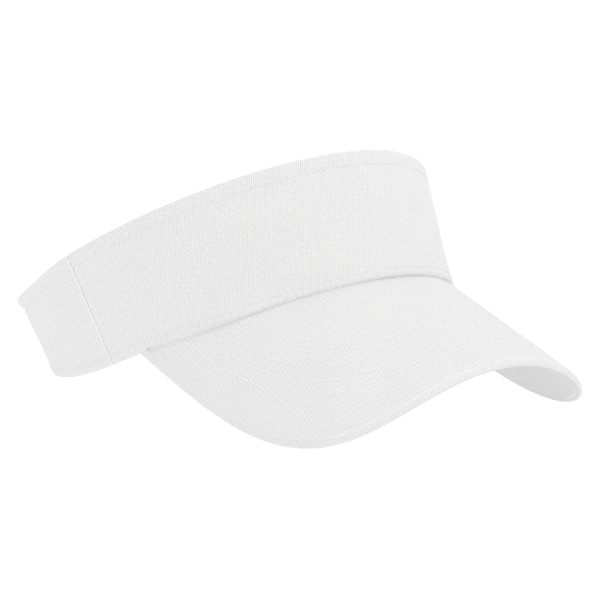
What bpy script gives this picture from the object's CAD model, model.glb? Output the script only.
"""Looks of the sun visor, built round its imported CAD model.

Shapes are worked out in millimetres on the band's leaning cone and the brim's cylinder, the same
surfaces as the CAD part, and become metres when a mesh is made. +Z is up and the wearer faces -Y.
"""

import math

import bpy
import numpy as np
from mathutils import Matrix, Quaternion, Vector


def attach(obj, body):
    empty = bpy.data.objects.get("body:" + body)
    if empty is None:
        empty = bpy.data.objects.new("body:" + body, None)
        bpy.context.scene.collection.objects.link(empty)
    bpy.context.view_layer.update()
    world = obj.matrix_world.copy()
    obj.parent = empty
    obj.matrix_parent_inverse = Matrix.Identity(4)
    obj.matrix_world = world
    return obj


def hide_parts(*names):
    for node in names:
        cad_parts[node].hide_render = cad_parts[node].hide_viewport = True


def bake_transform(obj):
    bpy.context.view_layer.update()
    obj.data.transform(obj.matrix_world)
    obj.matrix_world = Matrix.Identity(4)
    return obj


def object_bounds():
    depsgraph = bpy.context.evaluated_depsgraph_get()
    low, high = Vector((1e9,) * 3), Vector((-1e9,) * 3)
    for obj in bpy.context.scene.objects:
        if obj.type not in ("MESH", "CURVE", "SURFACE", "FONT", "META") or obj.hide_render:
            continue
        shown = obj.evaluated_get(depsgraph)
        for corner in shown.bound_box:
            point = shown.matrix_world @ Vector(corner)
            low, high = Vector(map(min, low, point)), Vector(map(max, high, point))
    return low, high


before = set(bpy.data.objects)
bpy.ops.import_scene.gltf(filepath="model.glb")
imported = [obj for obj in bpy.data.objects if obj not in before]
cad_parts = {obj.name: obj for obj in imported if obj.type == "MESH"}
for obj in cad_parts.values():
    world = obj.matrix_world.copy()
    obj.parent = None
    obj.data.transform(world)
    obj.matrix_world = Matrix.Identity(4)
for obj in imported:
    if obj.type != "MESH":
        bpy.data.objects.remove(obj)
cad_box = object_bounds()
MM = 0.001

# ---- the band: an oval cone that leans back ----
LEAN = math.radians(30.64)
SLOPE = math.tan(math.radians(6.5))
HALF_WIDTH = 85.0
FOREHEAD_REACH, FOREHEAD_RADIUS = 93.0, 74.0
NAPE_REACH, NAPE_RADIUS = 90.0, 83.0
SIDE_SEAM = -6.5
BAND_ORIGIN = np.array([0.0, 9.83, 8.18])
BAND_AXIS = np.array([0.0, math.sin(LEAN), math.cos(LEAN)])
BAND_BACK = np.array([0.0, math.cos(LEAN), -math.sin(LEAN)])
TOP_EDGE = [(-112, 57.0), (0, 57.3), (49, 61.2), (85, 68.9), (102, 75.8)]
TOP_SAG, SAG_AROUND, SAG_WIDTH = 1.25, 167.0, 20.0
DRAWN_DEPTH, DRAWN_AROUND, DRAWN_REACH = 1.6, 207.0, 54.0
BOTTOM_EDGE = [(-112, 0.8), (-60, 1.3), (-25, 5.55), (0, 8.2), (46.5, 20.9), (82.5, 39.5), (102, 53.4)]

# ---- the brim: part of a cylinder that points forward and down ----
PITCH = math.radians(21.31)
BRIM_RADIUS = 92.0
BRIM_START = 1.8
BRIM_LENGTH = 69.0
BRIM_HALF_ARC = 105.0
CORNER_DROP = 108.0
CORNER_POWER, CORNER_ROOT = 4.5, 3.1
BRIM_BACK = 44.6
BRIM_FORWARD = np.array([0.0, -math.cos(PITCH), -math.sin(PITCH)])
BRIM_UP = np.array([0.0, -math.sin(PITCH), math.cos(PITCH)])
BRIM_ORIGIN = (
    BAND_ORIGIN - BAND_BACK * (FOREHEAD_REACH + BRIM_START * SLOPE) + BAND_AXIS * BRIM_START
)

# ---- layers, as depths in from the outside of the band or brim ----
LINING_DEPTH = 1.5
TAPE_DEPTH = 2.2
SWEATBAND_DEPTH = 2.8
HEM_ROW_DROP = 6.1
EDGE_ROW_RISE = 3.9
SEAM_ROW_GAP = 3.6
ROW_INSETS = (17.8, 23.6, 29.4, 35.2)
SIDE_INSET_SHARE = 0.9
SEAM_GAP, SEAM_DIP = 0.35, 0.45
CLOTH, COVER, THREAD_RADIUS = 0.7, 0.6, 0.17
FACING_HEIGHT = 13.0
SWEATBAND_FRONT, SWEATBAND_SIDE, SWEATBAND_EASE = 30.0, 18.0, 26.0
INNER_REACH, STITCHED_BEHIND = 74.5, 84.0
SIDES = ((-1, "right"), (1, "left"))

# ---- the closure, as places across the nape and heights up the wall ----
STRAP_END_RIGHT, STRAP_END_LEFT = -22.0, -19.5
TAB_LEFT, TAB_HINGE, TAB_RIGHT = -41.0, -27.0, 34.0
TAB_MIDDLE, TAB_HALF_WIDTH, TAB_CORNER = 61.0, 10.0, 5.0
TAB_SEWN_DEPTH, TAB_CLIMB, TAB_CLOTH = -1.55, 2.2, 1.35
TAB_ROW_INSET, TAB_SECOND_ROW, TAB_ROW_HALF = 2.2, 11.0, 7.4
TAPE_HALF_WIDTH, TAPE_CLOTH = 8.0, 0.5
LOOP_TOP, HOOK_TOP = -0.55, -2.3
LOOP_END = 44.0
HOOK_START, HOOK_END = STRAP_END_LEFT + 6.0, TAB_RIGHT - 2.0
LABEL_LEFT, LABEL_RIGHT, LABEL_MIDDLE, LABEL_HALF_WIDTH = -48.0, -30.0, 55.0, 7.0
LABEL_DEPTH, LABEL_CLOTH = 2.28, 0.2


# ======== surfaces ========
def natural_spline(points):
    """A natural cubic through the points, as a function of the first coordinate."""
    x, y = np.array(points, float).T
    n, h = len(x), np.diff(x)
    system, right = np.eye(n), np.zeros(n)
    for i in range(1, n - 1):
        system[i, i - 1 : i + 2] = h[i - 1], 2 * (h[i - 1] + h[i]), h[i]
        right[i] = 6 * ((y[i + 1] - y[i]) / h[i] - (y[i] - y[i - 1]) / h[i - 1])
    bend = np.linalg.solve(system, right)

    def curve(at):
        k = np.clip(np.searchsorted(x, at) - 1, 0, n - 2)
        a, b = (x[k + 1] - at) / h[k], (at - x[k]) / h[k]
        curved = (a**3 - a) * bend[k] + (b**3 - b) * bend[k + 1]
        return a * y[k] + b * y[k + 1] + curved * h[k] ** 2 / 6

    return curve


def arcs(reach, radius):
    """Centre of an end arc, radius of the side arc, and the angle from the end where they meet."""
    centre = reach - radius
    side = (HALF_WIDTH**2 + centre**2 - radius**2) / (2 * (HALF_WIDTH - radius))
    return centre, side, math.atan2(side - HALF_WIDTH, centre)


FRONT_CENTRE, FRONT_SIDE, FRONT_MEET = arcs(FOREHEAD_REACH, FOREHEAD_RADIUS)
BACK_CENTRE, BACK_SIDE, BACK_MEET = arcs(NAPE_REACH, NAPE_RADIUS)
TURNS = np.linspace(0, math.pi + 0.6, 4001)
RADII = np.select(
    [TURNS < FRONT_MEET, TURNS < math.pi / 2, TURNS < math.pi - BACK_MEET],
    [FOREHEAD_RADIUS, FRONT_SIDE, BACK_SIDE],
    NAPE_RADIUS,
)
ROUND = np.concatenate([[0], np.cumsum((RADII[1:] + RADII[:-1]) / 2 * np.diff(TURNS))])
NAPE = float(np.interp(math.pi, TURNS, ROUND))


def section(around, grow):
    """Point of the band's oval, a distance round from the forehead, + towards the wearer's left."""
    turn, side = np.interp(np.abs(around), ROUND, TURNS), np.sign(around)
    zones = [turn < FRONT_MEET, turn < math.pi / 2, turn < math.pi - BACK_MEET]
    across = [
        (FOREHEAD_RADIUS + grow) * np.sin(turn),
        HALF_WIDTH - FRONT_SIDE + (FRONT_SIDE + grow) * np.sin(turn),
        HALF_WIDTH - BACK_SIDE + (BACK_SIDE + grow) * np.sin(turn),
    ]
    behind = [
        -FRONT_CENTRE - (FOREHEAD_RADIUS + grow) * np.cos(turn),
        -(FRONT_SIDE + grow) * np.cos(turn),
        -(BACK_SIDE + grow) * np.cos(turn),
    ]
    x = np.select(zones, across, (NAPE_RADIUS + grow) * np.sin(turn))
    y = np.select(zones, behind, BACK_CENTRE - (NAPE_RADIUS + grow) * np.cos(turn))
    return side * x, y


def from_band(x, behind, up):
    """The row frame's point for a place beside, behind and up the band's axis."""
    flat = np.asarray(behind)[..., None] * BAND_BACK + np.asarray(up)[..., None] * BAND_AXIS
    return BAND_ORIGIN + np.asarray(x)[..., None] * np.array([1.0, 0, 0]) + flat


def band(around, up, depth=0.0):
    """A point of the band's wall, in from its outside by a depth."""
    x, behind = section(around, up * SLOPE - depth)
    return from_band(x, behind, up)


def nape(x, up, depth=0.0):
    """A point of the wall at the nape, by how far it is beside the middle."""
    radius = NAPE_RADIUS + up * SLOPE - depth
    return from_band(x, BACK_CENTRE + np.sqrt(radius**2 - x**2), up)


def edge_height(edge, around):
    """How high one of the band's edges stands up the axis, round the band."""
    curve, up = natural_spline(edge), np.full(np.shape(around), 30.0)
    for _ in range(8):
        up = curve(section(around, up * SLOPE)[1])
    return up


def in_brim(points):
    """Distance round the brim's curve, forward along it, and out from its surface."""
    local = points - BRIM_ORIGIN
    x, height, forward = local[..., 0], local @ BRIM_UP + BRIM_RADIUS, local @ BRIM_FORWARD
    return BRIM_RADIUS * np.arctan2(x, height), forward, np.hypot(x, height) - BRIM_RADIUS


def brim(across, forward, depth=0.0):
    """A point of the brim, in from its top by a depth."""
    turn = np.asarray(across) / BRIM_RADIUS
    radius = BRIM_RADIUS - np.asarray(depth)
    out = radius[..., None] * np.stack([np.sin(turn), 0 * turn, np.cos(turn)], -1)
    lifted = out[..., :1] * np.array([1.0, 0, 0]) + (out[..., 2:] - BRIM_RADIUS) * BRIM_UP
    return BRIM_ORIGIN + lifted + np.asarray(forward)[..., None] * BRIM_FORWARD


# where the wall comes down onto the brim, by halving the gap
ALONG = np.linspace(0, NAPE + 40, 1601)
low, high = np.full(ALONG.shape, -40.0), np.full(ALONG.shape, 60.0)
for _ in range(40):
    middle = (low + high) / 2
    above = in_brim(band(ALONG, middle))[2] > 0
    low, high = np.where(above, low, middle), np.where(above, middle, high)
LANDING = (low + high) / 2
landing_across, landing_forward, _ = in_brim(band(ALONG, LANDING))
on_brim = (landing_forward > -BRIM_BACK) & (ALONG < 160)
FREE_BOTTOM = edge_height(BOTTOM_EDGE, ALONG)
BOTTOM = np.where(on_brim, np.maximum(LANDING + SEAM_GAP, FREE_BOTTOM), FREE_BOTTOM)
# behind the side seams the hem has no stiffener, and its edge sags a little
SAG = TOP_SAG * np.exp(-(((ALONG - SAG_AROUND) / SAG_WIDTH) ** 2))
TOP = edge_height(TOP_EDGE, ALONG) - SAG
SEAM_AROUND = float(np.interp(SIDE_SEAM, section(ALONG, 4.0)[1][ALONG < 150], ALONG[ALONG < 150]))
INNER_END = float(np.interp(INNER_REACH, section(ALONG, 8.0)[1][ALONG < NAPE], ALONG[ALONG < NAPE]))
STRAP_RIGHT = -(NAPE - NAPE_RADIUS * math.asin(-STRAP_END_RIGHT / NAPE_RADIUS))
STRAP_LEFT = NAPE + NAPE_RADIUS * math.asin(-STRAP_END_LEFT / NAPE_RADIUS)


def bottom_at(around):
    return np.interp(np.abs(around), ALONG, BOTTOM)


def top_at(around):
    return np.interp(np.abs(around), ALONG, TOP)


def seam_forward(across):
    """How far forward the wall meets the brim, at a distance round its curve."""
    kept = (landing_forward > -BRIM_BACK - 12) & (ALONG < 160)
    return np.interp(np.abs(across), landing_across[kept], landing_forward[kept])


def outline_forward(across, inset):
    """How far forward the brim reaches, at a distance round its curve."""
    share = np.clip(np.abs(across) / (BRIM_HALF_ARC - SIDE_INSET_SHARE * inset), 0, 1)
    return BRIM_LENGTH - inset - CORNER_DROP * (1 - (1 - share**CORNER_POWER) ** (1 / CORNER_ROOT))


def drawn_in(around, up):
    """The back panels are drawn in below the folded hem, most of all between seam and tab."""
    side = np.clip(1 - np.abs(np.abs(around) - DRAWN_AROUND) / DRAWN_REACH, 0, 1)
    below = np.clip((top_at(around) - up - 0.4) / 4.5, 0, 1)
    return DRAWN_DEPTH * np.sin(side * math.pi / 2) ** 2 * below * below * (3 - 2 * below)


def wall(around, up, depth=0.0):
    """A point of the sewn wall, which follows the cone except where the back is drawn in."""
    return band(around, up, depth + drawn_in(around, up))


# ======== relief of sewn cloth ========
def ripple(x, y, size, seed):
    """A smooth uneven field from about -1 to 1 with features about size across."""
    total = 0.0
    draw = np.random.default_rng(seed)
    for _ in range(7):
        heading, phase = draw.uniform(0, 2 * math.pi, 2)
        rate = 2 * math.pi / (size * draw.uniform(1.2, 2.8))
        total = total + np.sin((x * math.cos(heading) + y * math.sin(heading)) * rate + phase)
    return total / 3.2


def valley(distance, width):
    return np.exp(-((distance / width) ** 2))


def round_off(distance, radius):
    """How far a rounded edge falls back, at a distance from it."""
    near = np.clip(radius - distance, 0, radius)
    return radius - np.sqrt(radius**2 - near**2)


def row_pull(distance, along, seed, groove=0.09):
    """Cloth drawn in along a row of stitches, unevenly."""
    puckers = ripple(along, 0 * along, 4.5, seed) * valley(distance, 2.6)
    return -groove * valley(distance, 0.7) - 0.05 * puckers


def band_relief(around, up):
    """How far the band's outer cloth stands out from a smooth cone."""
    top, bottom = top_at(around), bottom_at(around)
    to_seam = np.abs(around) - SEAM_AROUND
    hem_row, edge_row = top - HEM_ROW_DROP, bottom + EDGE_ROW_RISE
    relief = 0.22 * ripple(around, up * 1.4, 26, 3) + 0.07 * ripple(around, up, 9, 4)
    relief = relief + row_pull(up - hem_row, around, 11) + row_pull(up - edge_row, around, 12)
    relief = relief + 0.14 * valley(up - (top - 3.0), 2.0) + 0.3 * valley(up - (bottom + 1.7), 1.6)
    side_row = row_pull(to_seam + SEAM_ROW_GAP, up, 13, 0.04)
    ridge = 0.12 * valley(to_seam + 1.9, 1.4) + 0.16 * valley(to_seam - 0.7, 0.7)
    forehead = 0.5 * valley(around - 60.0, 34.0)
    return relief + side_row + ridge + forehead


def brim_relief(across, forward):
    """How far the brim's top cloth stands up from a smooth curve."""
    relief = 0.12 * ripple(across, forward, 30, 5) + 0.04 * ripple(across, forward, 8, 6)
    for number, inset in enumerate(ROW_INSETS):
        gap = forward - outline_forward(across, inset)
        slant = np.gradient(outline_forward(np.linspace(-100, 100, 401), inset), 0.5)
        steep = np.interp(across, np.linspace(-100, 100, 401), slant)
        relief = relief + row_pull(gap / np.sqrt(1 + steep**2), across, 20 + number, 0.05)
    puff = valley(outline_forward(across, 0) - forward - 9.0, 7.0)
    crease = valley(forward - seam_forward(across) - 0.2, 1.3)
    return relief + 0.08 * puff - SEAM_DIP * crease


# ======== meshes ========
def new_object(name, points, faces, uv=None):
    """A smooth-shaded mesh object from points in millimetres."""
    mesh = bpy.data.meshes.new(name)
    mesh.from_pydata((np.asarray(points) * MM).tolist(), [], faces)
    mesh.shade_smooth()
    if uv is not None:
        layer = mesh.uv_layers.new(name="weave")
        index = np.zeros(len(mesh.loops), np.int32)
        mesh.loops.foreach_get("vertex_index", index)
        layer.data.foreach_set("uv", (np.asarray(uv) * MM)[index].astype(np.float32).ravel())
    piece = bpy.data.objects.new(name, mesh)
    bpy.context.scene.collection.objects.link(piece)
    return piece


def grid_normals(points):
    down, along = np.gradient(points, axis=0), np.gradient(points, axis=1)
    normal = np.cross(along, down)
    return normal / np.maximum(np.linalg.norm(normal, axis=-1, keepdims=True), 1e-9)


def cloth(name, points, uv, thickness, turned=False):
    """A closed sheet: a grid of points on its outside, and the same grid set in by its thickness."""
    rows, columns = points.shape[:2]
    normal = grid_normals(points) * (-1 if turned else 1)
    inner = points - normal * thickness
    every = np.concatenate([points.reshape(-1, 3), inner.reshape(-1, 3)])
    index = np.arange(rows * columns).reshape(rows, columns)
    quads = np.stack([index[:-1, :-1], index[:-1, 1:], index[1:, 1:], index[1:, :-1]], -1)
    outer_faces = quads.reshape(-1, 4)
    shift = rows * columns
    rim = []
    for line in (index[0], index[::-1, 0], index[-1, ::-1], index[:, -1]):
        rim.append(np.stack([line[:-1], line[:-1] + shift, line[1:] + shift, line[1:]], -1))
    faces = np.concatenate([outer_faces, outer_faces[:, ::-1] + shift, *rim])
    if turned:
        faces = faces[:, ::-1]
    flat = np.concatenate([uv.reshape(-1, 2)] * 2)
    return new_object(name, every, faces.tolist(), flat)


def tube_rows(centres, normals, radius, sides=6):
    """Points of tubes, one per run of centres: (runs, stations, sides, 3)."""
    along = np.gradient(centres, axis=1)
    along = along / np.linalg.norm(along, axis=-1, keepdims=True)
    beside = np.cross(along, normals)
    beside = beside / np.linalg.norm(beside, axis=-1, keepdims=True)
    over = np.cross(beside, along)
    turn = np.arange(sides) * 2 * math.pi / sides
    ring = np.cos(turn)[:, None] * beside[:, :, None] + np.sin(turn)[:, None] * over[:, :, None]
    return centres[:, :, None] + ring * np.asarray(radius)[..., None, None]


def tube_faces(runs, stations, sides):
    index = np.arange(runs * stations * sides).reshape(runs, stations, sides)
    beside = np.roll(index, -1, axis=2)
    corners = [index[:, :-1], index[:, 1:], beside[:, 1:], beside[:, :-1]]
    quads = np.stack(corners, -1).reshape(-1, 4)
    caps = np.concatenate([index[:, 0], index[:, -1, ::-1]])
    return quads.tolist() + caps.tolist()


def stitch_points(path, normals, seed, pitch=2.7, length=2.15, lift=0.1):
    """Separate stitches along a path, each a short thread that dives into the cloth at its ends."""
    step = np.linalg.norm(np.diff(path, axis=0), axis=1)
    travelled = np.concatenate([[0], np.cumsum(step)])
    count = max(1, int(travelled[-1] / pitch))
    spare = (travelled[-1] - count * pitch) / 2
    draw = np.random.default_rng(seed)
    middles = spare + pitch * (np.arange(count) + 0.5) + draw.normal(0, 0.07, count)
    stations = np.array([-0.5, -0.44, -0.28, 0.0, 0.28, 0.44, 0.5])
    heights = np.array([-0.42, -0.12, 0.06, 0.1, 0.06, -0.12, -0.42]) + lift
    at = middles[:, None] + stations * length * draw.uniform(0.93, 1.05, (count, 1))
    where = np.stack([np.interp(at, travelled, path[:, k]) for k in range(3)], -1)
    facing = np.stack([np.interp(at, travelled, normals[:, k]) for k in range(3)], -1)
    facing = facing / np.linalg.norm(facing, axis=-1, keepdims=True)
    where = where + facing * heights[:, None]
    swell = THREAD_RADIUS * np.array([0.55, 0.85, 1.0, 1.06, 1.0, 0.85, 0.55])
    return tube_rows(where, facing, np.broadcast_to(swell, at.shape))


def stitching(name, rows):
    """One piece holding several rows of stitches."""
    points = [stitch_points(*row[:2], **row[2]) for row in rows]
    block = np.concatenate(points)
    return new_object(name, block.reshape(-1, 3), tube_faces(*block.shape[:3]))


def surface_normals(place, a, b, step=0.5):
    """Directions square to a surface that is given by two parameters."""
    first = place(a + step, b) - place(a - step, b)
    second = place(a, b + step) - place(a, b - step)
    normal = np.cross(first, second)
    return normal / np.linalg.norm(normal, axis=-1, keepdims=True)


def band_path(around, up, depth, inward=False):
    """A path on the band's outside or inside, with the directions that face the viewer."""
    normal = surface_normals(band, around, up)
    return wall(around, up, depth), -normal if inward else normal


def steps(start, end, spacing, tight_start=0.0, tight_end=0.0):
    """Even steps with closer ones at an end that rounds over."""
    close = np.array([0, 0.02, 0.09, 0.22, 0.42, 0.7, 1.1, 1.6])
    parts = [np.linspace(start, end, max(3, int((end - start) / spacing) + 1))]
    if tight_start:
        parts.append(start + close * tight_start)
    if tight_end:
        parts.append(end - close * tight_end)
    return np.unique(np.round(np.concatenate(parts), 3))


# the wall's rolled edges, as (distance from the edge, depth)
ROLLED_BOTTOM = [(1.7, 2.2), (0.7, 2.15), (0.2, 1.8), (0.0, 1.2), (0.1, 0.62), (0.42, 0.2), (1.0, 0.03)]
ROLLED_TOP = [
    (0.85, 0.03),
    (0.38, 0.2),
    (0.09, 0.62),
    (0.0, 1.25),
    (0.09, 1.9),
    (0.4, 2.4),
    (0.9, 2.6),
    (2.0, 2.65),
]
FLAT_ROWS = 56
WALL_ROWS = len(ROLLED_BOTTOM) + FLAT_ROWS + len(ROLLED_TOP)


def wall_rows(around):
    """Heights and depths down the wall, from rolled bottom edge to rolled top edge."""
    bottom, top = bottom_at(around), top_at(around)
    up = [bottom + rise for rise, _ in ROLLED_BOTTOM]
    depth = [np.full(around.shape, d) for _, d in ROLLED_BOTTOM]
    start, stop = ROLLED_BOTTOM[-1][0], ROLLED_TOP[0][0]
    for k in range(1, FLAT_ROWS + 1):
        up.append(bottom + start + (top - bottom - start - stop) * k / (FLAT_ROWS + 1))
        depth.append(np.zeros(around.shape))
    up += [top - drop for drop, _ in ROLLED_TOP]
    depth += [np.full(around.shape, d) for _, d in ROLLED_TOP]
    return np.array(up), np.array(depth)


def panel(name, around, start_round, end_round):
    """A panel of the band's outer cloth, rolled over at top and bottom and in at its ends."""
    up, depth = wall_rows(around)
    wide = np.broadcast_to(around, up.shape)
    fall = round_off(wide - around[0], start_round) + round_off(around[-1] - wide, end_round)
    fall = fall * np.clip(1 - depth / 2.0, 0, 1)
    relief = band_relief(wide, up) * np.clip(1 - depth / 1.2, 0, 1)
    points = wall(wide, up, depth - relief + fall)
    travel = np.cumsum(np.linalg.norm(np.diff(points, axis=0, prepend=points[:1]), axis=-1), axis=0)
    uv = np.stack([wide * (1 + SLOPE * 0.3), travel], -1)
    return cloth(name, points, uv, CLOTH)


# ======== materials ========
def material(name, colour, roughness, sheen=0.0):
    made = bpy.data.materials.new(name)
    made.use_nodes = True
    shader = made.node_tree.nodes["Principled BSDF"]
    shader.inputs["Base Color"].default_value = (*colour, 1)
    shader.inputs["Roughness"].default_value = roughness
    shader.inputs["Specular IOR Level"].default_value = 0.18
    shader.inputs["Sheen Weight"].default_value = sheen
    shader.inputs["Sheen Roughness"].default_value = 0.45
    return made, made.node_tree, shader


def math_node(tree, operation, first, second=None, third=None):
    node = tree.nodes.new("ShaderNodeMath")
    node.operation = operation
    for socket, value in zip(node.inputs, (first, second, third)):
        if value is None:
            continue
        if isinstance(value, (int, float)):
            socket.default_value = value
        else:
            tree.links.new(value, socket)
    return node.outputs[0]


def noise_node(tree, vector, scale, detail=2.0, stretch=(1, 1, 1)):
    mapping = tree.nodes.new("ShaderNodeMapping")
    mapping.inputs["Scale"].default_value = stretch
    tree.links.new(vector, mapping.inputs["Vector"])
    noise = tree.nodes.new("ShaderNodeTexNoise")
    noise.inputs["Scale"].default_value = scale
    noise.inputs["Detail"].default_value = detail
    tree.links.new(mapping.outputs[0], noise.inputs["Vector"])
    return noise.outputs["Fac"]


def tint(tree, shader, colour, dark, factor):
    """Base colour between a dark share of the colour and the colour itself."""
    mix = tree.nodes.new("ShaderNodeMix")
    mix.data_type = "RGBA"
    mix.inputs["A"].default_value = (*[c * dark for c in colour], 1)
    mix.inputs["B"].default_value = (*colour, 1)
    tree.links.new(factor, mix.inputs["Factor"])
    tree.links.new(mix.outputs["Result"], shader.inputs["Base Color"])


def bump(tree, shader, height, distance):
    node = tree.nodes.new("ShaderNodeBump")
    node.inputs["Strength"].default_value = 1.0
    node.inputs["Distance"].default_value = distance
    tree.links.new(height, node.inputs["Height"])
    tree.links.new(node.outputs[0], shader.inputs["Normal"])


# noise scales of a weave, in features per metre
WANDER, YARN, PATCHES, FUZZ = 160.0, 700.0, 38.0, 1000.0


def woven(name, colour, angle, pitch, float_length, dark=0.84, relief=0.00012, sheen=0.25, grain=0.5):
    """Twill or plain weave in real metres: ribs at an angle, broken into floats, with uneven yarn."""
    made, tree, shader = material(name, colour, 0.92, sheen)
    uv = tree.nodes.new("ShaderNodeUVMap")
    uv.uv_map = "weave"
    turned = tree.nodes.new("ShaderNodeVectorRotate")
    turned.rotation_type = "Z_AXIS"
    turned.inputs["Angle"].default_value = math.radians(angle)
    tree.links.new(uv.outputs[0], turned.inputs["Vector"])
    split = tree.nodes.new("ShaderNodeSeparateXYZ")
    tree.links.new(turned.outputs[0], split.inputs[0])
    across, along = split.outputs[0], split.outputs[1]
    wander = noise_node(tree, uv.outputs[0], WANDER, 2.0)
    shifted = math_node(tree, "MULTIPLY_ADD", wander, pitch * 0.7, across)
    phase = math_node(tree, "MULTIPLY", shifted, 2 * math.pi / pitch)
    rib = math_node(tree, "MULTIPLY_ADD", math_node(tree, "SINE", phase), 0.5, 0.5)
    number = math_node(tree, "FLOOR", math_node(tree, "MULTIPLY_ADD", shifted, 1 / pitch, 0.25))
    stagger = math_node(tree, "MULTIPLY", number, 2.1)
    run = math_node(tree, "MULTIPLY_ADD", along, 2 * math.pi / float_length, stagger)
    floats = math_node(tree, "MULTIPLY_ADD", math_node(tree, "SINE", run), 0.5, 0.5)
    body = math_node(tree, "MULTIPLY_ADD", floats, 0.3, 0.7)
    weave = math_node(tree, "MULTIPLY", rib, body)
    yarn = noise_node(tree, turned.outputs[0], YARN, 2.0, (1.0, 0.16, 1.0))
    height = math_node(tree, "MULTIPLY_ADD", yarn, 0.25, weave)
    patches = noise_node(tree, uv.outputs[0], PATCHES, 3.0)
    fuzz = noise_node(tree, uv.outputs[0], FUZZ, 2.0)
    mottled = math_node(tree, "MULTIPLY_ADD", math_node(tree, "ADD", patches, -0.5), 0.2, weave)
    speckled = math_node(tree, "MULTIPLY_ADD", math_node(tree, "ADD", fuzz, -0.5), grain, mottled)
    lifted = math_node(tree, "MULTIPLY_ADD", speckled, 0.75, 0.25)
    tint(tree, shader, colour, dark, lifted)
    bump(tree, shader, height, relief)
    return made


def plain(name, colour, roughness, scale, dark=0.93, relief=0.00005, sheen=0.0):
    """A material with fine uneven grain in object space, for thread and moulded pieces."""
    made, tree, shader = material(name, colour, roughness, sheen)
    place = tree.nodes.new("ShaderNodeTexCoord")
    grain = noise_node(tree, place.outputs["Object"], scale, 3.0)
    tint(tree, shader, colour, dark, grain)
    bump(tree, shader, grain, relief)
    return made


WHITE = (0.905, 0.905, 0.905)
BAND_TWILL = woven("band_twill", WHITE, 18.0, 0.00084, 0.0021, 0.72, grain=1.3)
BRIM_TWILL = woven("brim_twill", (0.915, 0.915, 0.915), -22.0, 0.0009, 0.0022, 0.64)
BRIM_FOLD = woven("brim_fold", (0.92, 0.92, 0.92), -22.0, 0.0009, 0.0022, 0.78)
BRIM_EDGE = woven("brim_edge", (0.88, 0.88, 0.88), -22.0, 0.0009, 0.0022, 0.76)
UNDER_TWILL = woven("under_twill", (0.77, 0.77, 0.77), -22.0, 0.0009, 0.0022, 0.84)
LINING = woven("lining_weave", (0.86, 0.86, 0.86), 0.0, 0.0006, 0.0006, 0.88, 0.00006)
BUCKRAM = woven("buckram_weave", (0.74, 0.74, 0.72), 0.0, 0.0012, 0.0012, 0.7, 0.0002)
SWEAT = woven("sweatband_weave", (0.87, 0.87, 0.865), 30.0, 0.0007, 0.0014, 0.88, 0.0001, 0.4)
TAPE = woven("tape_weave", (0.88, 0.88, 0.875), 90.0, 0.0008, 0.0016, 0.86, 0.0001)
SEAM_FOLD = plain("seam_fold", (0.93, 0.93, 0.93), 0.9, 900.0, 0.93, 0.00005, 0.1)
THREAD = plain("thread", (0.92, 0.92, 0.92), 0.6, 2400.0, 0.88, 0.00005, 0.15)
BRIM_THREAD = plain("brim_thread", (0.97, 0.97, 0.97), 0.6, 2400.0, 0.93, 0.00005, 0.15)
BOARD = plain("board", (0.7, 0.7, 0.69), 0.45, 300.0)
HOOKS = plain("hook_plastic", (0.8, 0.8, 0.79), 0.4, 900.0)
PILE = plain("loop_pile", (0.82, 0.82, 0.82), 0.85, 1500.0, 0.85, 0.0001, 0.4)
SATIN = woven("label_satin", (0.86, 0.86, 0.86), 90.0, 0.00025, 0.003, 0.95, 0.00002, 0.1)


def finish_piece(piece, made, nodes, body="visor"):
    """Gives a piece its material, its body and the CAD nodes it stands for."""
    piece.data.materials.append(made)
    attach(piece, body)
    if nodes:
        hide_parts(*nodes)
    return piece


def stripe(piece, made, shape, rows=slice(None), columns=slice(None)):
    """Gives some rows or columns of a sheet's outside another material."""
    piece.data.materials.append(made)
    count = (shape[0] - 1) * (shape[1] - 1)
    for face in np.arange(count).reshape(shape[0] - 1, shape[1] - 1)[rows, columns].ravel():
        piece.data.polygons[int(face)].material_index = len(piece.data.materials) - 1


# ======== the band ========
front_around = steps(-SEAM_AROUND, SEAM_AROUND, 1.3, 0.6, 0.6)
crown_front = panel("crown_front", front_around, 0.55, 0.55)
finish_piece(crown_front, BAND_TWILL, ["front_panel"])

right_around = steps(STRAP_RIGHT, -SEAM_AROUND - 0.05, 1.3, 1.2, 0.6)
crown_right = panel("crown_back_right", right_around, 1.1, 0.4)
finish_piece(crown_right, BAND_TWILL, ["back_panel_right"])
stripe(crown_right, SEAM_FOLD, (WALL_ROWS, len(right_around)), columns=slice(-6, -3))

left_around = steps(SEAM_AROUND + 0.05, STRAP_LEFT, 1.3, 0.6, 1.2)
crown_left = panel("crown_back_left", left_around, 0.4, 1.1)
finish_piece(crown_left, BAND_TWILL, ["back_panel_left"])
stripe(crown_left, SEAM_FOLD, (WALL_ROWS, len(left_around)), columns=slice(3, 6))


def layer(name, start, end, low, high, depth, thickness, relief=None, spacing=2.0):
    """An inner layer of the band between two heights, given as functions of the way round."""
    around = steps(start, end, spacing)
    bottom, top = low(around), high(around)
    count = max(3, int(np.max(top - bottom) / spacing) + 1)
    share = np.linspace(0, 1, count)[:, None]
    up = bottom + (top - bottom) * share
    wide = np.broadcast_to(around, up.shape)
    lift = 0.0 if relief is None else relief(wide, up)
    points = wall(wide, up, depth + lift)
    return cloth(name, points, np.stack([wide, up], -1), thickness)


def above_bottom(rise):
    return lambda around: bottom_at(around) + rise


def below_top(drop):
    return lambda around: top_at(around) - drop


stiffener = layer(
    "front_stiffener", -SEAM_AROUND + 1, SEAM_AROUND - 1, above_bottom(1.6), below_top(1.6), 0.85, 0.45
)
finish_piece(stiffener, BUCKRAM, ["front_buckram"])


def lining_wave(around, up):
    return 0.06 * ripple(around, up, 11, 31)


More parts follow.
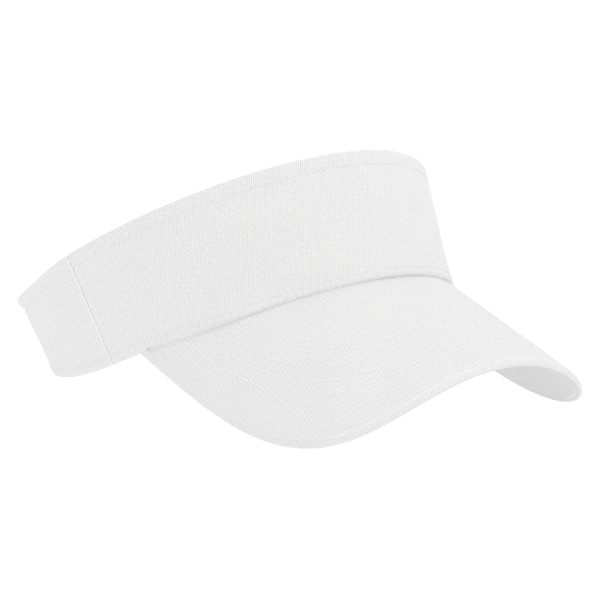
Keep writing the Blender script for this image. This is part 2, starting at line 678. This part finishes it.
def lining(name, start, end, node):
    """A lining panel, just inside the outer cloth."""
    ends = (above_bottom(0.9), below_top(0.7))
    piece = layer(name, start, end, *ends, LINING_DEPTH, 0.5, lining_wave)
    return finish_piece(piece, LINING, [node])


lining_front = lining("lining_front", -SEAM_AROUND, SEAM_AROUND, "front_lining")
lining_right = lining("lining_right", STRAP_RIGHT + 1.0, -SEAM_AROUND - 0.1, "back_lining_right")
lining_left = lining("lining_left", SEAM_AROUND + 0.1, STRAP_LEFT - 1.0, "back_lining_left")


def facing_relief(around, up):
    """The facing is a little uneven, and stands further in along its stitches."""
    ridge = 0.16 * valley(up - (top_at(around) - HEM_ROW_DROP), 0.9)
    return ridge + 0.06 * ripple(around, up, 7, 32)


facing_edges = (below_top(FACING_HEIGHT), below_top(0.75))
facing = layer("hem_facing", -INNER_END, INNER_END, *facing_edges, 2.75, 0.55, facing_relief, 1.3)
finish_piece(facing, LINING, ["top_hem_facing"])


def sweatband_height(around):
    """High in front, easing down towards the side seams."""
    ease = np.clip((SEAM_AROUND - np.abs(around)) / SWEATBAND_EASE, 0, 1)
    return SWEATBAND_SIDE + (SWEATBAND_FRONT - SWEATBAND_SIDE) * ease * ease * (3 - 2 * ease)


def sweatband(name, start, end, nodes):
    """A folded padded band: its outside lies on the wall, its inside swells towards the head."""
    around = steps(start, end, 1.6, 0.8, 0.8)
    height = sweatband_height(around) - 0.4
    turn = np.linspace(0, 2 * math.pi, 41)[:-1]
    share = (1 - np.cos(turn)) / 2
    inside = np.sin(turn) > 0
    up = bottom_at(around) + 0.35 + height * share[:, None]
    swell = 1.35 * np.abs(np.sin(turn)) ** 0.5
    ends = np.minimum(np.abs(around - around[0]), np.abs(around - around[-1]))
    tuck = np.clip(ends / 1.2, 0.25, 1) ** 0.5
    wide = np.broadcast_to(around, up.shape)
    row = valley(share[:, None] * height - 3.6, 1.0)
    soft = 0.12 * ripple(wide, up, 6.5, 33) * (share[:, None] < 0.8)
    bulge = swell[:, None] * tuck * (1 - 0.45 * row) + soft * np.abs(np.sin(turn))[:, None]
    depth = SWEATBAND_DEPTH + 0.12 + np.where(inside[:, None], bulge * 1.1, 0.0)
    points = wall(wide, up, depth)
    count, columns = up.shape
    index = np.arange(count * columns).reshape(count, columns)
    below = np.roll(index, -1, axis=0)
    quads = np.stack([index[:, :-1], below[:, :-1], below[:, 1:], index[:, 1:]], -1).reshape(-1, 4)
    faces = quads.tolist() + [index[:, 0][::-1].tolist(), index[:, -1].tolist()]
    girth = np.cumsum(np.linalg.norm(np.diff(points, axis=0, prepend=points[:1]), axis=-1), axis=0)
    piece = new_object(name, points.reshape(-1, 3), faces, np.stack([wide, girth], -1).reshape(-1, 2))
    finish_piece(piece, SWEAT, nodes)


sweatband("sweatband_forehead", -SEAM_AROUND, SEAM_AROUND, ["sweatband_front"])
sweatband("sweatband_side_right", -INNER_END, -SEAM_AROUND - 0.1, ["sweatband_right"])
sweatband("sweatband_side_left", SEAM_AROUND + 0.1, INNER_END, ["sweatband_left"])

for side, word in SIDES:
    around_ends = sorted((side * (SEAM_AROUND - 6), side * (SEAM_AROUND + 6)))
    tape_edges = (above_bottom(0.6), below_top(1.2))
    seam_tape = layer(f"side_tape_{word}", *around_ends, *tape_edges, TAPE_DEPTH + 0.05, 0.4, None, 1.0)
    finish_piece(seam_tape, TAPE, [f"seam_tape_{word}"])
tape_edges = (above_bottom(0.3), above_bottom(8.8))
brim_tape = layer("brim_tape", -SEAM_AROUND + 6, SEAM_AROUND - 6, *tape_edges, TAPE_DEPTH + 0.05, 0.4)
finish_piece(brim_tape, TAPE, ["brim_seam_tape"])


# ======== the brim ========
def brim_outline():
    """The brim's flat outline from the right seam end round to the left, evenly spaced."""
    share = np.sin(np.linspace(-math.pi / 2, math.pi / 2, 801))
    across = BRIM_HALF_ARC * share
    forward = outline_forward(across, 0.0)
    start = float(seam_forward(BRIM_HALF_ARC)) - 1.5
    back = np.arange(start, forward[0], 0.4)
    across = np.concatenate([0 * back - BRIM_HALF_ARC, across, 0 * back + BRIM_HALF_ARC])
    forward = np.concatenate([back, forward, back[::-1]])
    length = np.concatenate([[0], np.cumsum(np.hypot(np.diff(across), np.diff(forward)))])
    even = np.linspace(0, length[-1], 420)
    return np.stack([np.interp(even, length, across), np.interp(even, length, forward)], -1)


OUTLINE = brim_outline()
heading = np.gradient(OUTLINE, axis=0)
heading = heading / np.linalg.norm(heading, axis=1, keepdims=True)
INWARD = np.stack([heading[:, 1], -heading[:, 0]], -1)
BRIM_ROWS = 64
# the covers' rolled edges, as (distance in from the outline, depth)
TOP_ROLL = [
    (3.6, 0.0),
    (3.1, -0.02),
    (2.75, -0.07),
    (2.5, -0.08),
    (2.25, -0.01),
    (1.9, 0.12),
    (1.4, 0.33),
    (0.9, 0.62),
    (0.45, 1.0),
    (0.14, 1.45),
    (0.0, 1.9),
    (0.1, 2.32),
    (0.38, 2.62),
    (0.75, 2.76),
    (1.15, 2.78),
    (1.5, 2.72),
]
UNDER_ROLL = [
    (3.8, 3.0),
    (3.2, 2.97),
    (2.8, 2.9),
    (2.45, 2.92),
    (2.1, 3.02),
    (1.8, 3.08),
    (1.52, 3.03),
    (1.38, 2.9),
    (1.34, 2.76),
]
share_along = np.linspace(-1, 1, len(OUTLINE))
seam_across = (BRIM_HALF_ARC - TOP_ROLL[0][0]) * np.sin(share_along * 1.25) / math.sin(1.25)
BRIM_SEAM = np.stack([seam_across, seam_forward(seam_across)], -1)


def brim_sheet(name, roll, tuck, relief, turned):
    """A brim cover from under the band out to its rolled edge."""
    rim_inset, rim_depth = roll[0]
    rim = OUTLINE + INWARD * rim_inset
    start = BRIM_SEAM - np.array([0.0, tuck])
    share = np.linspace(0, 1, BRIM_ROWS)[:, None, None]
    flat = start * (1 - share) + rim * share
    fade = np.clip((1 - share[:, :, 0]) * 25, 0, 1)
    depth = np.full(flat.shape[:2], rim_depth) - relief(flat[:, :, 0], flat[:, :, 1]) * fade
    edge_flat = np.stack([OUTLINE + INWARD * inset for inset, _ in roll[1:]])
    edge_depth = np.array([d for _, d in roll[1:]])[:, None] * np.ones(len(OUTLINE))
    flat = np.concatenate([flat, edge_flat])
    depth = np.concatenate([depth, edge_depth])
    points = brim(flat[:, :, 0], flat[:, :, 1], depth)
    return cloth(name, points, flat, COVER, turned)


def under_relief(across, forward):
    """How far the under cover is drawn up at the stitch rows, and its unevenness."""
    drawn = 0.0
    for inset in ROW_INSETS:
        drawn = drawn + 0.14 * valley(forward - outline_forward(across, inset), 1.1)
    return drawn + 0.08 * ripple(across, forward, 22, 7)


brim_top = brim_sheet("brim_top", TOP_ROLL, 2.4, brim_relief, True)
finish_piece(brim_top, BRIM_TWILL, ["brim_top_cover"])
brim_grid = (BRIM_ROWS + len(TOP_ROLL) - 1, len(OUTLINE))
facing_front = np.flatnonzero(np.abs(heading[:, 1]) < 0.75)
front_edge = slice(facing_front[0], facing_front[-1])
stripe(brim_top, BRIM_FOLD, brim_grid, slice(BRIM_ROWS + 1, BRIM_ROWS + 3), front_edge)
stripe(brim_top, BRIM_EDGE, brim_grid, slice(BRIM_ROWS + 3, None), front_edge)
brim_under = brim_sheet("brim_under", UNDER_ROLL, 2.0, under_relief, False)
finish_piece(brim_under, UNDER_TWILL, ["brim_under_cover"])
under_grid = (BRIM_ROWS + len(UNDER_ROLL) - 1, len(OUTLINE))
stripe(brim_under, BRIM_FOLD, under_grid, slice(BRIM_ROWS + 1, BRIM_ROWS + 3), front_edge)

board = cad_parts["brim_board"]
board.data.materials.clear()
board.data.materials.append(BOARD)

# ======== stitching ========
hem_around = np.arange(-SEAM_AROUND - STITCHED_BEHIND, SEAM_AROUND + STITCHED_BEHIND, 0.5)


def outside_row(around, up, seed):
    """A row of stitches on the band's outer cloth."""
    return (*band_path(around, up, -band_relief(around, up)), {"seed": seed})


def inside_row(around, up, depth, seed):
    """A row of stitches seen inside the band, at a depth."""
    return (*band_path(around, up, depth, True), {"seed": seed, "lift": 0.12})


hem_up = top_at(hem_around) - HEM_ROW_DROP
inner = np.abs(hem_around) < INNER_END - 2
hem_rows = [
    outside_row(hem_around, hem_up, 1),
    inside_row(hem_around[inner], hem_up[inner], 3.42, 2),
]
hem_stitches = stitching("hem_stitches", hem_rows)
finish_piece(hem_stitches, THREAD, ["top_hem_stitching"])

edge_up = bottom_at(hem_around) + EDGE_ROW_RISE
edge_rows = [
    outside_row(hem_around, edge_up, 3),
    inside_row(hem_around[inner], edge_up[inner], SWEATBAND_DEPTH + 0.95, 4),
]
edge_stitches = stitching("edge_stitches", edge_rows)
finish_piece(edge_stitches, THREAD, ["bottom_edge_stitching"])

for side, word in SIDES:
    place = side * (SEAM_AROUND - SEAM_ROW_GAP)
    up = np.arange(bottom_at(place) + EDGE_ROW_RISE + 1.6, top_at(place) - HEM_ROW_DROP - 1.2, 0.4)
    row = outside_row(np.full(up.shape, place), up, 5 + side)
    seam_stitches = stitching(f"seam_stitches_{word}", [row])
    finish_piece(seam_stitches, BRIM_THREAD, [f"side_seam_stitching_{word}"])

for number, inset in enumerate(ROW_INSETS):
    share = np.sin(np.linspace(-math.pi / 2, math.pi / 2, 1201))
    across = (BRIM_HALF_ARC - SIDE_INSET_SHARE * inset) * share
    forward = outline_forward(across, inset)
    clear = forward > seam_forward(across) + 1.2
    across, forward = across[clear], forward[clear]
    facing_up = -surface_normals(brim, across, forward)
    top_path = brim(across, forward, -brim_relief(across, forward))
    under_path = brim(across, forward, 3.1 - under_relief(across, forward))
    size = {"pitch": 2.5, "length": 2.0}
    rows = [
        (top_path, facing_up, {"seed": 40 + number, "lift": 0.06, **size}),
        (under_path, -facing_up, {"seed": 50 + number, **size}),
    ]
    row_piece = stitching(f"brim_stitches_{number + 1}", rows)
    finish_piece(row_piece, BRIM_THREAD, [f"brim_stitch_row_{number + 1}"])


# ======== the closure at the back ========
def tab_outer_depth(x):
    """The strap lies on the band where it is sewn, and climbs over the two tapes."""
    climb = np.clip((x + 35.0) / 10.0, 0, 1)
    return TAB_SEWN_DEPTH - TAB_CLIMB * climb * climb * (3 - 2 * climb)


def patch_grid(left, right, middle, half, corner_right, spacing, corner_left=0.6):
    """A rounded strip across the nape, as a grid of x and height."""
    x = steps(left, right, spacing, 1.6, 1.6)
    into_right = np.clip(x - (right - corner_right), 0, corner_right)
    into_left = np.clip((left + corner_left) - x, 0, corner_left)
    inset = (corner_right - np.sqrt(corner_right**2 - into_right**2)) + (
        corner_left - np.sqrt(corner_left**2 - into_left**2)
    )
    close = np.array([0, 0.015, 0.05, 0.1])
    share = np.concatenate([-1 + close, np.linspace(-0.86, 0.86, 17), 1 - close[::-1]])
    up = middle + share[:, None] * (half - inset)
    return np.broadcast_to(x, up.shape), up, np.broadcast_to(share[:, None], up.shape)


def nape_sheet(name, x, up, depth, thickness):
    """A sheet across the nape from its grid of places and depths."""
    return cloth(name, nape(x, up, depth + 0 * x), np.stack([x, up], -1), thickness, True)


x, up, share = patch_grid(TAB_LEFT, TAB_RIGHT, TAB_MIDDLE, TAB_HALF_WIDTH, TAB_CORNER, 1.2, 1.0)
from_edge = TAB_HALF_WIDTH * (1 - np.abs(share))
soft_end = round_off(np.minimum(TAB_RIGHT - x, x - TAB_LEFT), 0.7)
drawn = 0.13 * valley(from_edge - TAB_ROW_INSET, 0.6) + 0.05 * ripple(x, up, 7, 61)
tab_depth = tab_outer_depth(x) + np.maximum(round_off(from_edge, 0.7), soft_end) + drawn
tab = nape_sheet("closure_strap", x, up, tab_depth, TAB_CLOTH)
tab.data.materials.append(BAND_TWILL)
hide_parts("closure_tab", "tab_anchor")


def strip_loop(left, right, half, corner):
    """A closed path just inside a strip's edge, as x and height."""
    top_run = np.linspace(left, right - corner, 60)
    turn = np.linspace(math.pi / 2, 0, 12)
    bend_x = right - corner + corner * np.cos(turn)
    bend_up = half - corner + corner * np.sin(turn)
    x = np.concatenate([top_run, bend_x, bend_x[::-1], top_run[::-1]])
    up = np.concatenate([0 * top_run + half, bend_up, -bend_up[::-1], 0 * top_run - half])
    return x, TAB_MIDDLE + up


def tab_row(x, up, depth, seed):
    """A row of stitches on the strap's outside."""
    return nape(x, up, tab_outer_depth(x) + depth), -surface_normals(nape, x, up), {"seed": seed}


row_half_width = TAB_HALF_WIDTH - TAB_ROW_INSET
x, up = strip_loop(TAB_LEFT + TAB_ROW_INSET, TAB_RIGHT - TAB_ROW_INSET, row_half_width, TAB_CORNER - 2.0)
tab_rows = [tab_row(x, up, 0.12, 71)]
for inset in (TAB_ROW_INSET, TAB_SECOND_ROW):
    up = np.linspace(TAB_MIDDLE - TAB_ROW_HALF, TAB_MIDDLE + TAB_ROW_HALF, 30)
    tab_rows.append(tab_row(np.full(up.shape, TAB_LEFT + inset), up, 0.02, 72))
tab_stitches = stitching("closure_stitches", tab_rows)
tab_stitches.data.materials.append(THREAD)
for piece in (tab, tab_stitches):
    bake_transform(piece)

x, up, _ = patch_grid(STRAP_END_LEFT + 1.0, LOOP_END, TAB_MIDDLE, TAPE_HALF_WIDTH, 1.0, 1.5)
loop_tape = nape_sheet("loop_tape_base", x, up, LOOP_TOP, TAPE_CLOTH)
finish_piece(loop_tape, TAPE, ["loop_tape"])

x, up, _ = patch_grid(HOOK_START, HOOK_END, TAB_MIDDLE, TAPE_HALF_WIDTH, 3.0, 1.5)
hook_tape = nape_sheet("hook_tape_base", x, up, HOOK_TOP, TAPE_CLOTH)
finish_piece(hook_tape, HOOKS, ["hook_tape"], "tab")


def pile(name, left, right, base, reach, spacing, width, seed, closed):
    """Rows of loops that stand out from a tape, or of hooks that stand in: reach is how far."""
    draw = np.random.default_rng(seed)
    xs = np.arange(left + 1.2, right - 1.2, spacing)
    ups = np.arange(-TAPE_HALF_WIDTH + 1.0, TAPE_HALF_WIDTH - 0.9, spacing)
    x, up = [a.ravel() for a in np.meshgrid(xs, ups)]
    jitter = 0.3 if closed else 0.05
    x = x + draw.normal(0, jitter, x.size)
    up = TAB_MIDDLE + up + draw.normal(0, jitter, x.size)
    lean = draw.normal(0, 0.7 if closed else 0.1, x.size)
    arc = np.linspace(0, math.pi * (1.0 if closed else 0.82), 7)
    sideways = np.cos(arc) * width
    height = np.sin(arc) * reach if closed else np.minimum(1, np.sin(arc) * 1.15) * reach
    px = x[:, None] + sideways * np.cos(lean)[:, None]
    pu = up[:, None] + sideways * np.sin(lean)[:, None]
    centres = nape(px, pu, base - height if closed else base + height)
    across = surface_normals(nape, px, pu)
    tilt = np.cross(np.gradient(centres, axis=1), across)
    radius = np.full(px.shape, 0.09 if closed else 0.13)
    points = tube_rows(centres, tilt, radius, 4)
    return new_object(name, points.reshape(-1, 3), tube_faces(*points.shape[:3]))


loop_pile = pile("loop_pile", STRAP_END_LEFT + 1.0, LOOP_END, LOOP_TOP + 0.02, 0.38, 1.1, 0.5, 81, True)
finish_piece(loop_pile, PILE, [])
hook_rows = pile("hook_rows", HOOK_START, HOOK_END, HOOK_TOP + 0.48, 0.62, 1.3, 0.3, 82, False)
finish_piece(hook_rows, HOOKS, [], "tab")

# ======== a blank label inside the right strap ========
x, up, share = patch_grid(LABEL_LEFT, LABEL_RIGHT, LABEL_MIDDLE, LABEL_HALF_WIDTH, 0.6, 1.0)
label_depth = LABEL_DEPTH + 0.35 * np.clip(-share, 0, 1) ** 2 + 0.05 * ripple(x, up, 8, 91)
label = nape_sheet("size_label_cloth", x, up, label_depth, LABEL_CLOTH)
finish_piece(label, SATIN, ["size_label"])


# ======== floor, light and camera ========
lowest = cad_box[0].z
below = (0, 0, lowest - 0.0002)
bpy.ops.mesh.primitive_circle_add(vertices=96, radius=60.0, fill_type="NGON", location=below)
floor = bpy.context.object
floor.name = "floor"
floor_material, _, floor_shader = material("floor_white", (0.22, 0.22, 0.22), 0.9)
floor_shader.inputs["Emission Color"].default_value = (1, 1, 1, 1)
floor_shader.inputs["Emission Strength"].default_value = 0.84
floor.data.materials.append(floor_material)

world = bpy.data.worlds.new("studio")
world.use_nodes = True
world.node_tree.nodes["Background"].inputs["Color"].default_value = (1, 1, 1, 1)
world.node_tree.nodes["Background"].inputs["Strength"].default_value = 1.0
bpy.context.scene.world = world


def area_light(name, place, target, size, power):
    data = bpy.data.lights.new(name, "AREA")
    data.shape, data.size, data.energy = "DISK", size, power
    lamp = bpy.data.objects.new(name, data)
    lamp.location = place
    lamp.rotation_mode = "QUATERNION"
    lamp.rotation_quaternion = (Vector(target) - Vector(place)).to_track_quat("-Z", "Y")
    bpy.context.scene.collection.objects.link(lamp)


area_light("key", (0.35, -0.5, 2.0), (0, 0, 0.05), 1.2, 5.0)
area_light("top", (0.5, 0.5, 2.2), (0, 0, 0.05), 1.8, 2.0)

AZIMUTH, ELEVATION, ROLL = math.radians(-43.12), math.radians(9.91), math.radians(1.70)
TILT, YAW = math.radians(0.622), math.radians(-0.062)
DISTANCE, LENS = 0.9485, 132.2
AIM = Vector(BAND_ORIGIN + np.array([0, -20.64, 20.96])) * MM
back = Vector(
    (
        math.sin(AZIMUTH) * math.cos(ELEVATION),
        -math.cos(AZIMUTH) * math.cos(ELEVATION),
        math.sin(ELEVATION),
    )
)
camera_data = bpy.data.cameras.new("camera")
camera_data.lens, camera_data.sensor_width = LENS, 36.0
camera_data.clip_start, camera_data.clip_end = 0.01, 200.0
camera = bpy.data.objects.new("camera", camera_data)
camera.location = AIM + back * DISTANCE
camera.rotation_mode = "QUATERNION"
level = (-back).to_track_quat("-Z", "Y")
roll = Quaternion((0, 0, 1), ROLL)
tilt = Quaternion((1, 0, 0), TILT)
yaw = Quaternion((0, 1, 0), YAW)
camera.rotation_quaternion = level @ roll @ tilt @ yaw
bpy.context.scene.collection.objects.link(camera)
bpy.context.scene.camera = camera
bpy.context.scene.view_settings.view_transform = "Standard"
